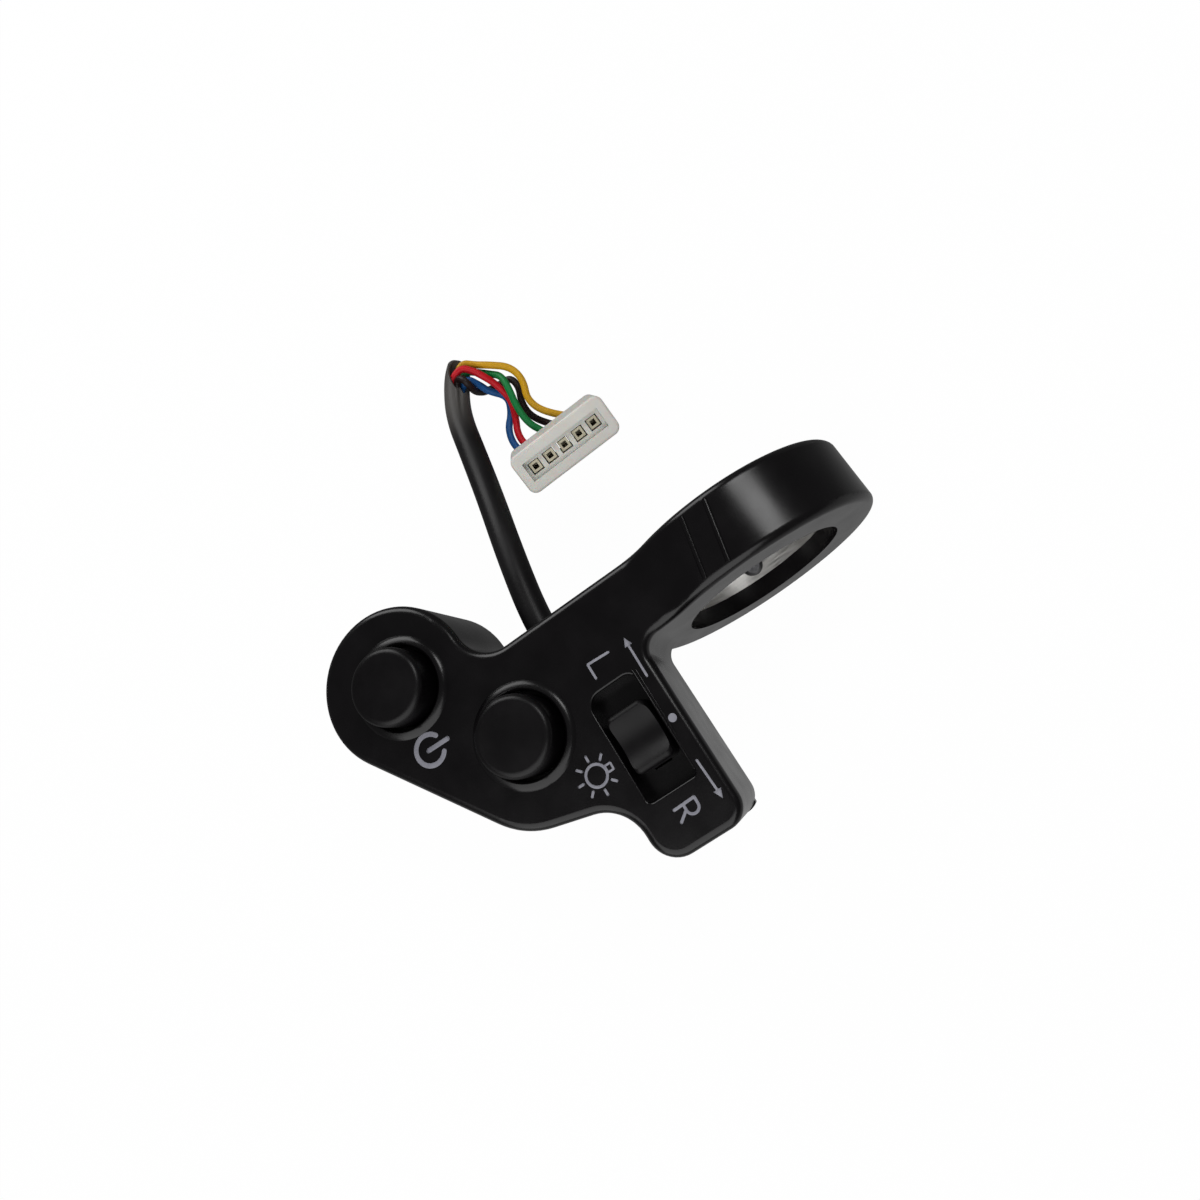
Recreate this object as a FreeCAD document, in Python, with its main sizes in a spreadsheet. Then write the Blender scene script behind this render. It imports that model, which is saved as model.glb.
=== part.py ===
import FreeCAD, Part
import math
import os
import re

import Sketcher
from FreeCAD import Placement, Rotation, Vector

# A handlebar switch for an electric scooter: a clamp ring, a flat panel with
# two push buttons and a three-way turn-signal slider, and a short lead.
# Millimetres. The origin is the centre of the bar bore, +X runs along the bar,
# +Y points away from the panel and +Z is the way the panel faces.

doc = FreeCAD.newDocument("ScooterSwitch")
sheet = doc.addObject("Spreadsheet::Sheet", "Sizes")

DIMENSIONS = [
    # clamp ring
    ("bar_radius", 11.1),
    ("ring_radius", 16.8),
    ("ring_width", 9.4),
    ("sleeve_wall", 1.2),
    ("sleeve_width", 4.4),
    ("clamp_thread_radius", 1.5),
    ("clamp_recess", 0.9),
    ("clamp_backoff", 0.8),
    ("hex_socket_radius", 0.87),
    ("hex_socket_depth", 2.0),
    ("thread_clearance", 0.03),
    # panel and shell
    ("panel_level", 12.5),
    ("seam_level", -1.5),
    ("cover_thickness", 2.0),
    ("shell_wall", 1.8),
    ("front_wall", 1.9),
    ("front_edge", 1.0),
    ("neck_blend", 7.0),
    ("cover_edge", 0.8),
    ("cover_corner", 2.3),
    ("cover_gap", 0.15),
    ("lip_height", 1.2),
    ("lip_wall", 0.8),
    # outline of the panel, as circles joined by straight sides
    ("power_lobe_x", -8.6),
    ("power_lobe_y", -46.0),
    ("power_lobe_radius", 10.5),
    ("light_lobe_x", 6.9),
    ("light_lobe_y", -34.3),
    ("light_lobe_radius", 10.6),
    ("slider_side_x", 27.9),
    ("slider_top_y", -16.0),
    ("slider_low_y", -27.75),
    ("slider_top_corner", 2.8),
    ("slider_low_corner", 3.6),
    ("slider_hollow", 5.5),
    ("slider_flank", 0.8),
    ("neck_near_corner", 2.3),
    ("neck_far_hollow", 5.0),
    ("neck_floor_y", -17.2),
    # push buttons
    ("power_shift_x", 0.6),
    ("power_shift_y", 0.7),
    ("light_shift_x", -0.8),
    ("light_shift_y", 0.1),
    ("button_radius", 5.0),
    ("button_height", 3.9),
    ("button_edge", 0.9),
    ("button_clearance", 0.45),
    ("button_travel", 2.0),
    ("button_wall", 1.2),
    ("button_roof", 1.4),
    ("flange_width", 0.95),
    ("flange_thickness", 0.9),
    ("flange_gap", 0.3),
    ("rim_width", 1.25),
    ("rim_height", 0.45),
    ("rim_inner_edge", 0.3),
    ("ridge_radius", 0.35),
    ("ridge_height", 0.22),
    ("boss_radius", 2.7),
    ("slip", 0.05),
    # push switches under the buttons
    ("board_top", 1.2),
    ("board_thickness", 1.2),
    ("case_side", 8.4),
    ("contact_gap", 0.3),
    ("case_wall", 0.8),
    ("base_thickness", 0.9),
    ("stem_radius", 1.6),
    ("stem_clearance", 0.3),
    ("collar_radius", 2.6),
    ("collar_height", 1.1),
    ("collar_gap", 0.2),
    ("coil_radius", 1.4),
    ("coil_wire", 0.1),
    ("coil_turns", 3),
    ("bridge_inner", 1.85),
    ("bridge_outer", 2.95),
    ("bridge_thickness", 0.2),
    ("pin_radius", 0.35),
    ("pin_head_radius", 0.6),
    ("pin_head", 0.3),
    ("pin_spacing", 3.5),
    ("pin_below", 0.9),
    # turn-signal slider
    ("slider_x", 13.9),
    ("slider_y", -22.0),
    ("pocket_length", 14.0),
    ("pocket_width", 6.6),
    ("pocket_depth", 3.1),
    ("pocket_floor", 1.2),
    ("pocket_wall", 1.2),
    ("pocket_end_corner", 0.6),
    ("pocket_far_corner", 1.4),
    ("pocket_low_corner", 1.8),
    ("pocket_edge", 0.3),
    ("knob_length", 7.6),
    ("knob_width", 5.2),
    ("knob_proud", 0.9),
    ("knob_dish", 1.2),
    ("knob_lift", 0.2),
    ("knob_edge", 0.8),
    ("slider_travel", 2.8),
    ("lever_side", 1.8),
    ("lever_plate_length", 4.6),
    ("lever_plate_width", 3.6),
    ("lever_plate", 1.1),
    ("slot_clearance", 0.3),
    ("can_length", 12.4),
    ("can_width", 6.0),
    ("can_height", 5.0),
    ("can_wall", 0.5),
    ("can_base", 1.0),
    ("wiper_gap", 0.05),
    ("wiper_strip", 0.2),
    ("wiper_width", 2.0),
    ("terminal_spacing", 3.0),
    # circuit board and fasteners
    ("board_clearance", 0.35),
    ("cover_post_radius", 2.0),
    ("board_post_radius", 1.5),
    ("post_clearance", 0.35),
    ("cover_screw_radius", 1.1),
    ("cover_head_radius", 1.95),
    ("cover_head_depth", 1.2),
    ("cover_screw_length", 8.5),
    ("board_screw_radius", 0.8),
    ("board_head_radius", 1.4),
    ("board_head", 0.9),
    ("board_screw_length", 5.0),
    # lead
    ("sheath_radius", 2.0),
    ("lead_y", -27.3),
    ("lead_level", 4.5),
    ("grommet_flange", 1.1),
    ("grommet_lip", 0.8),
    ("grommet_wall", 0.7),
    ("tie_width", 2.2),
    ("tie_thickness", 0.7),
    ("tie_block", 1.6),
    ("wire_radius", 0.55),
    ("wire_ring", 0.96),
    ("leads_first_drop", 3.2),
    ("leads_drop_step", 1.6),
    # plug on the lead's end
    ("plug_length", 15.4),
    ("plug_width", 6.1),
    ("plug_depth", 9.8),
    ("plug_corner", 1.2),
    ("plug_edge", 0.4),
    ("way_spacing", 2.5),
    ("plug_cavity", 1.8),
    ("plug_recess_length", 12.8),
    ("plug_recess_width", 2.9),
    ("plug_recess_depth", 1.2),
    ("contact_side", 1.5),
    ("contact_below", 0.6),
    ("contact_hole", 0.8),
    ("wire_entry", 1.3),
]

for row, (name, value) in enumerate(DIMENSIONS, start=1):
    sheet.set("A%d" % row, name)
    sheet.set("B%d" % row, str(value))
    sheet.setAlias("B%d" % row, name)
doc.recompute()

ALIASES = {name for name, value in DIMENSIONS}
AXES = {"x": Vector(1, 0, 0), "y": Vector(0, 1, 0), "z": Vector(0, 0, 1)}
TINY = 1e-4
FAR = 200.0


def size(name):
    """The value of one cell of the sheet."""
    return float(sheet.get(name))


def linked(formula):
    """A formula with each size's name pointing at its cell."""
    return re.sub(r"[a-z_]+", lambda word: "Sizes." + word.group() if word.group() in ALIASES
                  else word.group(), str(formula))


def value_of(formula):
    """The number that a formula of sizes gives."""
    cell = doc.getObject("Reckoner")
    cell.setExpression("Length", linked(formula))
    doc.recompute([cell])
    return float(cell.Length)


doc.addObject("App::FeaturePython", "Reckoner").addProperty("App::PropertyFloat", "Length")


def bind(item, **formulas):
    """Tie properties of an object to formulas of sizes."""
    for prop, formula in formulas.items():
        item.setExpression(prop, linked(formula))
    return item


def stand(item, x="0", y="0", z="0"):
    """Tie the place of an object to formulas."""
    for letter, formula in (("x", x), ("y", y), ("z", z)):
        item.setExpression("Placement.Base." + letter, linked(formula))
    return item


def box(name, centre_x, centre_y, low, length, width, height):
    """A block centred on a point in plan, standing on a level."""
    item = doc.addObject("Part::Box", name)
    bind(item, Length=length, Width=width, Height=height)
    return stand(item, "%s - (%s) / 2" % (centre_x, length), "%s - (%s) / 2" % (centre_y, width), low)


def rod(name, x, y, z, radius, height, along="z"):
    """A cylinder that starts at a point and runs along an axis."""
    item = doc.addObject("Part::Cylinder", name)
    item.Placement = Placement(Vector(), Rotation(AXES["z"], AXES[along]))
    bind(item, Radius=radius, Height=height)
    return stand(item, x, y, z)


def cut(name, base, *tools):
    """The base with every tool taken away."""
    for number, tool in enumerate(tools):
        item = doc.addObject("Part::Cut", "%s_%d" % (name, number))
        item.Base = base
        item.Tool = tool
        base = item
    return base


def join(name, *items):
    """Several solids as one."""
    item = doc.addObject("Part::MultiFuse", name)
    item.Shapes = list(items)
    return item


def group(name, *items):
    """Separate solids kept in one node."""
    item = doc.addObject("Part::Compound", name)
    item.Links = list(items)
    return item


def common(name, *items):
    """What several solids share."""
    item = doc.addObject("Part::MultiCommon", name)
    item.Shapes = list(items)
    return item


def feature(name, shape):
    """A shape worked out here, as an object of the document."""
    item = doc.addObject("Part::Feature", name)
    item.Shape = shape
    return item


def round_edges(name, base, radius, wanted):
    """The base with the wanted edges rounded."""
    doc.recompute()
    item = doc.addObject("Part::Fillet", name)
    item.Base = base
    item.Edges = [(number, radius, radius) for number, edge in enumerate(base.Shape.Edges, start=1)
                  if wanted(edge)]
    return item


def prism(name, wire, low, height):
    """A flat outline raised from one level by a height."""
    face = feature(name + "_outline", Part.Face(wire))
    item = doc.addObject("Part::Extrusion", name)
    item.Base = face
    item.DirMode = "Custom"
    item.Dir = AXES["z"]
    item.Solid = False
    bind(item, LengthFwd=height)
    return stand(item, z=low)


def turned(name, profile, radius_edge=None):
    """A body turned about its own Z axis from corners given as radius and height."""
    body = doc.addObject("PartDesign::Body", name)
    plane = [item for item in body.Origin.OriginFeatures if item.Role == "XZ_Plane"][0]
    sketch = body.newObject("Sketcher::SketchObject", name + "_profile")
    sketch.AttachmentSupport = (plane, [""])
    sketch.MapMode = "FlatFace"
    corners = [(value_of(radius), value_of(height)) for radius, height in profile]
    for here, there in zip(corners, corners[1:] + corners[:1]):
        sketch.addGeometry(Part.LineSegment(Vector(*here, 0), Vector(*there, 0)), False)
    for number, (radius, height) in enumerate(profile):
        before = (number - 1) % len(profile)
        sketch.addConstraint(Sketcher.Constraint("Coincident", before, 2, number, 1))
        for kind, formula, number_at, axis in (("DistanceX", radius, corners[number][0], -2),
                                               ("DistanceY", height, corners[number][1], -1)):
            if abs(number_at) < TINY:
                sketch.addConstraint(Sketcher.Constraint("PointOnObject", number, 1, axis))
                continue
            index = sketch.addConstraint(Sketcher.Constraint(kind, -1, 1, number, 1, number_at))
            label = "%s%d" % (kind, number)
            sketch.renameConstraint(index, label)
            sketch.setExpression("Constraints." + label, linked(formula))
    doc.recompute()
    turn = body.newObject("PartDesign::Revolution", name + "_turn")
    turn.Profile = sketch
    turn.ReferenceAxis = (sketch, ["V_Axis"])
    turn.Angle = 360
    body.Tip = turn
    doc.recompute()
    if radius_edge:
        top = max(turn.Shape.Edges, key=lambda edge: (round(edge.BoundBox.ZMin, 4), edge.Length))
        number = [index for index, edge in enumerate(turn.Shape.Edges, start=1) if edge.isSame(top)][0]
        soft = body.newObject("PartDesign::Fillet", name + "_edge")
        soft.Base = (turn, ["Edge%d" % number])
        soft.setExpression("Radius", linked(radius_edge))
        body.Tip = soft
        doc.recompute()
    return body


NODES = {}


def node(name, item):
    """Name an object as one of the finished pieces."""
    item.Label = name
    NODES[name] = item
    return item


# Outline of the panel


def tangent_angle(first, second):
    """Direction of the straight side that leaves one circle and meets the next."""
    (x1, y1, r1), (x2, y2, r2) = first, second
    reach = math.hypot(x2 - x1, y2 - y1)
    lean = max(-1.0, min(1.0, (r1 - r2) / reach))
    return math.atan2(y2 - y1, x2 - x1) + math.asin(lean)


def on_circle(circle, angle):
    """The point where a path of this direction touches the circle."""
    x, y, radius = circle
    return Vector(x + radius * math.sin(angle), y - radius * math.cos(angle), 0)


def belt(circles):
    """A closed wire round circles; a negative radius is a hollow."""
    count = len(circles)
    angles = [tangent_angle(circles[i], circles[(i + 1) % count]) for i in range(count)]
    starts = [on_circle(circles[i], angles[i - 1]) for i in range(count)]
    ends = [on_circle(circles[i], angles[i]) for i in range(count)]
    edges = []
    for i, circle in enumerate(circles):
        if (starts[i] - ends[i - 1]).Length > TINY:
            edges.append(Part.LineSegment(ends[i - 1], starts[i]).toShape())
        else:
            starts[i] = ends[i - 1]
        if (ends[i] - starts[i]).Length > TINY:
            turn = (angles[i] - angles[i - 1]) % (2 * math.pi)
            if circle[2] < 0:
                turn -= 2 * math.pi
            middle = on_circle(circle, angles[i - 1] + turn / 2)
            edges.append(Part.Arc(starts[i], middle, ends[i]).toShape())
    return Part.Wire(edges)


def panel_outline(inset, top_corner="slider_top_corner"):
    """The outline of the body seen from the front, drawn in by a distance."""
    half = size("ring_width") / 2
    far = size("neck_far_hollow")
    hollow = size("slider_hollow")
    power = (size("power_lobe_x"), size("power_lobe_y"), size("power_lobe_radius"))
    light = (size("light_lobe_x"), size("light_lobe_y"), size("light_lobe_radius"))
    right, top, low = size("slider_side_x"), size("slider_top_y"), size("slider_low_y")
    up, down, near = size(top_corner), size("slider_low_corner"), size("neck_near_corner")
    far_x = -half - far
    far_y = power[1] + math.sqrt((power[2] + far) ** 2 - (far_x - power[0]) ** 2)
    hollow_y = low - hollow
    reach = math.sqrt((light[2] + hollow) ** 2 - (hollow_y - light[1]) ** 2)
    hollow_x = light[0] + reach + size("slider_flank")
    neck_top = -size("ring_radius") / 2
    circles = [
        (-half + inset, neck_top, 0.0),
        (far_x, far_y, -far - inset),
        (power[0], power[1], max(power[2] - inset, 0.0)),
        (light[0], light[1], max(light[2] - inset, 0.0)),
        (hollow_x, hollow_y, -hollow - inset),
        (right - down, low + down, max(down - inset, 0.0)),
        (right - up, top - up, max(up - inset, 0.0)),
        (half + near, top + near, -near - inset),
        (half - inset, neck_top, 0.0),
    ]
    return belt(circles)


def below_line(name, limit):
    """A large block that keeps what lies on the panel's side of a Y value."""
    item = doc.addObject("Part::Box", name)
    item.Length = FAR
    item.Width = FAR
    item.Height = FAR
    return stand(item, str(-FAR / 2), "%s - %s" % (limit, FAR), str(-FAR / 2))


def trimmed(name, inset, low, height, limit, top_corner="slider_top_corner"):
    """A plate of the panel's outline, drawn in and cut off before the ring."""
    plate = prism(name + "_plate", panel_outline(value_of(inset), top_corner), low, height)
    return common(name + "_trim", plate, below_line(name + "_limit", limit))


# Places that several pieces share

POWER = ("(power_lobe_x + power_shift_x)", "(power_lobe_y + power_shift_y)")
LIGHT = ("(light_lobe_x + light_shift_x)", "(light_lobe_y + light_shift_y)")
CEILING = "(panel_level - front_wall)"
BOARD_LOW = "(board_top - board_thickness)"
COVER_BACK = "(seam_level - cover_thickness)"
HOLE_RADIUS = "(button_radius + button_clearance)"
FLANGE_TOP = "(%s - flange_gap)" % CEILING
FLANGE_LOW = "(%s - flange_thickness)" % FLANGE_TOP
BUTTON_TOP = "(panel_level + button_height)"
FLANGE_RADIUS = "(button_radius + flange_width)"
POCKET_LEVEL = "(panel_level - pocket_depth)"
SLOT_LENGTH = "(lever_side + 2 * slider_travel + 2 * slot_clearance)"
SLOT_WIDTH = "(lever_side + 2 * slot_clearance)"
INNER_WALL_X = "(-ring_width / 2 + shell_wall)"
OUTER_WALL_X = "(-ring_width / 2)"

CLEAR_OF_FLANGE = "(%s + cover_post_radius + 0.4)" % FLANGE_RADIUS
COVER_POSTS = [
    ("(%s - 0.819 * %s)" % (POWER[0], CLEAR_OF_FLANGE), "(%s - 0.574 * %s)" % (POWER[1], CLEAR_OF_FLANGE)),
    ("(%s + 8.8)" % POWER[0], "(%s - 1.6)" % POWER[1]),
    ("(slider_side_x - shell_wall - 1.7)", "slider_y"),
    ("-0.3", "(neck_floor_y - cover_post_radius - 1)"),
]
BOARD_POSTS = [
    ("(%s + 7.3)" % POWER[0], "(%s + 4.7)" % POWER[1]),
    ("(%s + 7.5)" % LIGHT[0], "(%s + 5.6)" % LIGHT[1]),
    ("(ring_width / 2 - 0.8)", "(slider_top_y - 4.6)"),
]


# Housing


def pocket_wire(margin):
    """The slider pocket's outline, with a larger corner at its low left end."""
    half_x, half_y = size("pocket_length") / 2 + margin, size("pocket_width") / 2 + margin
    x, y = size("slider_x"), size("slider_y")
    corners = [(1, 1, size("pocket_end_corner")), (-1, 1, size("pocket_far_corner")),
               (-1, -1, size("pocket_low_corner")), (1, -1, size("pocket_end_corner"))]
    circles = [(x + sx * (half_x - radius - margin), y + sy * (half_y - radius - margin), radius + margin)
               for sx, sy, radius in corners]
    return belt(circles)


def ridge(name, start_y, end_y):
    """One slanting round bar let into the top of the clamp ring."""
    half = size("ring_width") / 2 - size("front_edge")
    depth = size("ridge_radius") - size("ridge_height")
    ends = [Vector(x, y, math.sqrt(size("ring_radius") ** 2 - y ** 2) - depth)
            for x, y in ((-half, start_y), (half, end_y))]
    way = ends[1] - ends[0]
    return feature(name, Part.makeCylinder(size("ridge_radius"), way.Length, ends[0], way))


def rim(name, x, y):
    """The raised collar about a button's hole, domed down to its outer foot."""
    inside, edge = value_of(HOLE_RADIUS), size("rim_inner_edge")
    crest, outside = inside + edge, inside + size("rim_width")
    foot, top = size("panel_level"), value_of("panel_level + rim_height")
    floor = value_of(CEILING)
    run, rise = outside - crest, top - foot
    bend = (run ** 2 + rise ** 2) / (2 * rise)
    half = math.asin(run / bend) / 2
    corners = [Vector(inside, 0, top - edge), Vector(inside, 0, floor), Vector(outside, 0, floor),
               Vector(outside, 0, foot)]
    sides = [Part.LineSegment(here, there).toShape() for here, there in zip(corners, corners[1:])]
    dome = Vector(crest + bend * math.sin(half), 0, top - bend * (1 - math.cos(half)))
    lip = Vector(crest - edge * math.sqrt(0.5), 0, top - edge * (1 - math.sqrt(0.5)))
    sides.append(Part.Arc(corners[-1], dome, Vector(crest, 0, top)).toShape())
    sides.append(Part.Arc(Vector(crest, 0, top), lip, corners[0]).toShape())
    collar = Part.Face(Part.Wire(sides)).revolve(Vector(), Vector(0, 0, 1), 360)
    collar.translate(Vector(value_of(x), value_of(y), 0))
    return feature(name, collar)


def on_level(edge, level):
    """Whether an edge lies flat on a level."""
    return abs(edge.BoundBox.ZMin - level) < TINY and abs(edge.BoundBox.ZMax - level) < TINY


def neck_sweep():
    """The hollow sweep that carries the panel's face up onto the clamp ring."""
    reach, level, blend = size("ring_radius"), size("panel_level"), size("neck_blend")
    half = size("ring_width") / 2
    centre = Vector(-half, -math.sqrt((reach + blend) ** 2 - (level + blend) ** 2), level + blend)
    inward = Vector(0, -centre.y, -centre.z)
    inward.normalize()
    foot = Vector(-half, centre.y, level)
    touch = centre + inward * blend
    between = Vector(0, 0, -1) + inward
    between.normalize()
    middle = centre + between * blend
    deep = touch + inward * 4
    under = Vector(-half, centre.y, deep.z)
    arc = Part.Arc(foot, middle, touch).toShape()
    sides = [Part.LineSegment(touch, deep).toShape(), Part.LineSegment(deep, under).toShape(),
             Part.LineSegment(under, foot).toShape()]
    solid = Part.Face(Part.Wire([arc] + sides)).extrude(Vector(2 * half, 0, 0))
    return round_edges("neck_soft", feature("neck_sweep", solid), size("front_edge"),
                       lambda edge: edge.Curve.TypeId == "Part::GeomCircle")


def shell_blank():
    """Panel, neck and ring as one solid, with softened front edges."""
    slab = prism("panel_slab", panel_outline(0.0), "seam_level", "panel_level - seam_level")
    level = size("panel_level")
    end = -size("ring_radius") / 2
    panel = round_edges("panel_soft", slab, size("front_edge"),
                        lambda edge: on_level(edge, level) and edge.BoundBox.YMin < end - TINY)
    ring = rod("ring_round", "-ring_width / 2", "0", "0", "ring_radius", "ring_width", "x")
    ring_soft = round_edges("ring_soft", ring, size("front_edge"), lambda edge: edge.BoundBox.XLength < TINY)
    return join("shell_blank", panel, ring_soft, neck_sweep())


def housing():
    """Ring, neck and front shell, moulded as one."""
    blank = shell_blank()
    cavity = trimmed("shell_cavity", "shell_wall", "seam_level", CEILING + " - seam_level", "neck_floor_y")
    tray = prism("pocket_tray", pocket_wire(size("pocket_wall")), POCKET_LEVEL + " - pocket_floor",
                 "pocket_floor + pocket_depth - front_wall / 2")
    pocket = prism("pocket_space", pocket_wire(0.0), POCKET_LEVEL, "pocket_depth + 1")
    slot = box("pocket_slot", "slider_x", "slider_y", POCKET_LEVEL + " - pocket_floor - 1", SLOT_LENGTH,
               SLOT_WIDTH, "pocket_floor + 2")
    rims = [rim("rim_%d" % number, x, y) for number, (x, y) in enumerate((POWER, LIGHT))]
    holes = [rod("button_hole_%d" % number, x, y, CEILING + " - 1", HOLE_RADIUS, "front_wall + rim_height + 2")
             for number, (x, y) in enumerate((POWER, LIGHT))]
    cover_posts = [rod("cover_post_%d" % number, x, y, "seam_level", "cover_post_radius",
                       CEILING + " + 0.5 - seam_level") for number, (x, y) in enumerate(COVER_POSTS)]
    board_posts = [rod("board_post_%d" % number, x, y, "board_top", "board_post_radius",
                       CEILING + " + 0.5 - board_top") for number, (x, y) in enumerate(BOARD_POSTS)]
    cover_pilots = [rod("cover_pilot_%d" % number, x, y, "seam_level - 1", "cover_screw_radius + thread_clearance",
                        "cover_screw_length + 0.5") for number, (x, y) in enumerate(COVER_POSTS)]
    board_pilots = [rod("board_pilot_%d" % number, x, y, "board_top - 1", "board_screw_radius + thread_clearance",
                        "board_screw_length") for number, (x, y) in enumerate(BOARD_POSTS)]
    hollow = cut("shell_hollow", blank, cavity)
    full = join("shell_full", hollow, tray, *(cover_posts + board_posts))
    bore = rod("bar_bore", "-ring_width", "0", "0", "bar_radius", "2 * ring_width", "x")
    groove = rod("sleeve_groove", "-sleeve_width / 2", "0", "0", "bar_radius + sleeve_wall", "sleeve_width", "x")
    passage = rod("clamp_passage", "0", "0", "-2 * ring_radius", "clamp_thread_radius + thread_clearance",
                  "2 * ring_radius")
    outlet = rod("lead_outlet", OUTER_WALL_X + " - 1", "lead_y", "lead_level",
                 "sheath_radius + slip + grommet_wall", "shell_wall + 2", "x")
    ridges = [ridge("ridge_low", -3.7, -5.4), ridge("ridge_high", -0.5, -2.2)]
    shell = cut("shell_cut", full, bore, groove, passage, pocket, slot, outlet,
                *(holes + cover_pilots + board_pilots))
    whole = join("shell_whole", shell, *(ridges + rims))
    level, x, y = size("panel_level"), size("slider_x"), size("slider_y")
    reach = size("pocket_length") / 2 + TINY
    return round_edges("shell_eased", whole, size("pocket_edge"),
                       lambda edge: on_level(edge, level) and abs(edge.BoundBox.Center.x - x) < reach
                       and abs(edge.BoundBox.Center.y - y) < size("pocket_width") / 2 + TINY)


node("housing", housing())


# Back cover and its screws


def back_cover():
    """The plate that closes the back, with a locating lip inside the shell."""
    plate = trimmed("cover", "0", COVER_BACK, "cover_thickness", "neck_floor_y + 0.35", "cover_corner")
    back = value_of(COVER_BACK)
    soft = round_edges("cover_soft", plate, size("cover_edge"), lambda edge: on_level(edge, back))
    inset = "shell_wall + cover_gap"
    outer = trimmed("lip_outer", inset, "seam_level", "lip_height", "neck_floor_y - cover_gap")
    inner = trimmed("lip_inner", inset + " + lip_wall", "seam_level", "lip_height", "neck_floor_y - cover_gap - lip_wall")
    gaps = [rod("lip_gap_%d" % number, x, y, "seam_level", "cover_post_radius + post_clearance", "lip_height")
            for number, (x, y) in enumerate(COVER_POSTS)]
    lip = cut("lip", outer, inner, *gaps)
    shanks = [rod("cover_hole_%d" % number, x, y, COVER_BACK + " - 1", "cover_screw_radius + 0.15",
                  "cover_thickness + 2") for number, (x, y) in enumerate(COVER_POSTS)]
    heads = [rod("cover_sink_%d" % number, x, y, COVER_BACK + " - 1", "cover_head_radius + 0.15",
                 "cover_head_depth + 1") for number, (x, y) in enumerate(COVER_POSTS)]
    return cut("cover_cut", join("cover_full", soft, lip), *(shanks + heads))


node("back_cover", back_cover())


def pan_screw(name, x, y, seat, head_radius, head_height, radius, length):
    """A cross-headed screw that points up, its head hanging from a seat level."""
    head = rod(name + "_head", x, y, "%s - %s" % (seat, head_height), head_radius, head_height)
    shank = rod(name + "_shank", x, y, seat, radius, length)
    slots = [box("%s_slot_%d" % (name, number), x, y, "%s - %s - 0.5" % (seat, head_height), long, wide,
                 "0.5 + %s * 0.6" % head_height)
             for number, (long, wide) in enumerate((("%s * 1.3" % head_radius, "0.4"),
                                                     ("0.4", "%s * 1.3" % head_radius)))]
    return cut(name, join(name + "_blank", head, shank), *slots)


node("cover_screws", group("cover_screw_set", *[
    pan_screw("cover_screw_%d" % number, x, y, COVER_BACK + " + cover_head_depth", "cover_head_radius",
              "(cover_head_depth - 0.2)", "cover_screw_radius", "cover_screw_length - 1")
    for number, (x, y) in enumerate(COVER_POSTS)]))


# Bar clamp: the metal sleeve moulded into the ring and its grub screw

sleeve = rod("sleeve_round", "-sleeve_width / 2", "0", "0", "bar_radius + sleeve_wall", "sleeve_width", "x")
sleeve_bore = rod("sleeve_bore", "-sleeve_width", "0", "0", "bar_radius", "2 * sleeve_width", "x")
sleeve_tap = rod("sleeve_tap", "0", "0", "-2 * bar_radius", "clamp_thread_radius + thread_clearance",
                 "2 * bar_radius")
node("clamp_sleeve", cut("sleeve_cut", sleeve, sleeve_bore, sleeve_tap))


def clamp_screw():
    """A hexagon-socket grub screw under the bar, backed off clear of the bore."""
    top = "(-bar_radius - clamp_backoff)"
    low = "(clamp_recess - ring_radius)"
    body = rod("grub_body", "0", "0", low, "clamp_thread_radius", "%s - %s" % (top, low))
    socket = doc.addObject("Part::Prism", "grub_socket")
    socket.Polygon = 6
    bind(socket, Circumradius="hex_socket_radius", Height="hex_socket_depth + 1")
    stand(socket, z=low + " - 1")
    tip = doc.addObject("Part::Cone", "grub_tip")
    bind(tip, Radius1="clamp_thread_radius", Radius2="clamp_thread_radius - 0.5", Height="0.5")
    stand(tip, z=top)
    return cut("grub", join("grub_whole", body, tip), socket)


node("clamp_screw", clamp_screw())


# Push buttons and the switches under them


def button(name, place):
    """A round cap with a keeping flange below and a socket for the switch's stem."""
    base = FLANGE_LOW
    roof = "(%s - button_roof)" % BUTTON_TOP
    profile = [
        ("0", "%s - %s" % (BUTTON_TOP, base)),
        ("button_radius", "%s - %s" % (BUTTON_TOP, base)),
        ("button_radius", "flange_thickness"),
        (FLANGE_RADIUS, "flange_thickness"),
        (FLANGE_RADIUS, "0"),
        ("button_radius - button_wall", "0"),
        ("button_radius - button_wall", "%s - %s" % (roof, base)),
        ("boss_radius", "%s - %s" % (roof, base)),
        ("boss_radius", "0.4"),
        ("stem_radius + slip", "0.4"),
        ("stem_radius + slip", "%s - %s - 1" % (roof, base)),
        ("0", "%s - %s - 1" % (roof, base)),
    ]
    return stand(turned(name, profile, "button_edge"), place[0], place[1], base)


BASE_TOP = "(board_top + base_thickness)"
COLLAR_LOW = "(%s + pin_head + contact_gap + button_travel + bridge_thickness)" % BASE_TOP
CASE_HEIGHT = "(%s + collar_height + collar_gap + case_wall - board_top)" % COLLAR_LOW
STEM_TOP = "(%s - button_roof - 1.2)" % BUTTON_TOP


def switch_case(name, x, y):
    """The square moulded case, open below, with a round hole for the stem."""
    block = box(name + "_block", x, y, "board_top", "case_side", "case_side", CASE_HEIGHT)
    inside = box(name + "_inside", x, y, "board_top - 1", "case_side - 2 * case_wall",
                 "case_side - 2 * case_wall", CASE_HEIGHT + " - case_wall + 1")
    hole = rod(name + "_hole", x, y, "board_top", "stem_radius + stem_clearance",
               CASE_HEIGHT + " + 1")
    return cut(name, block, inside, hole)


def pin_places(x, y):
    """The four pins of a push switch, at the corners of a square."""
    half = "pin_spacing / 2"
    return [("%s %s %s" % (x, sx, half), "%s %s %s" % (y, sy, half)) for sx in "+-" for sy in "+-"]


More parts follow.
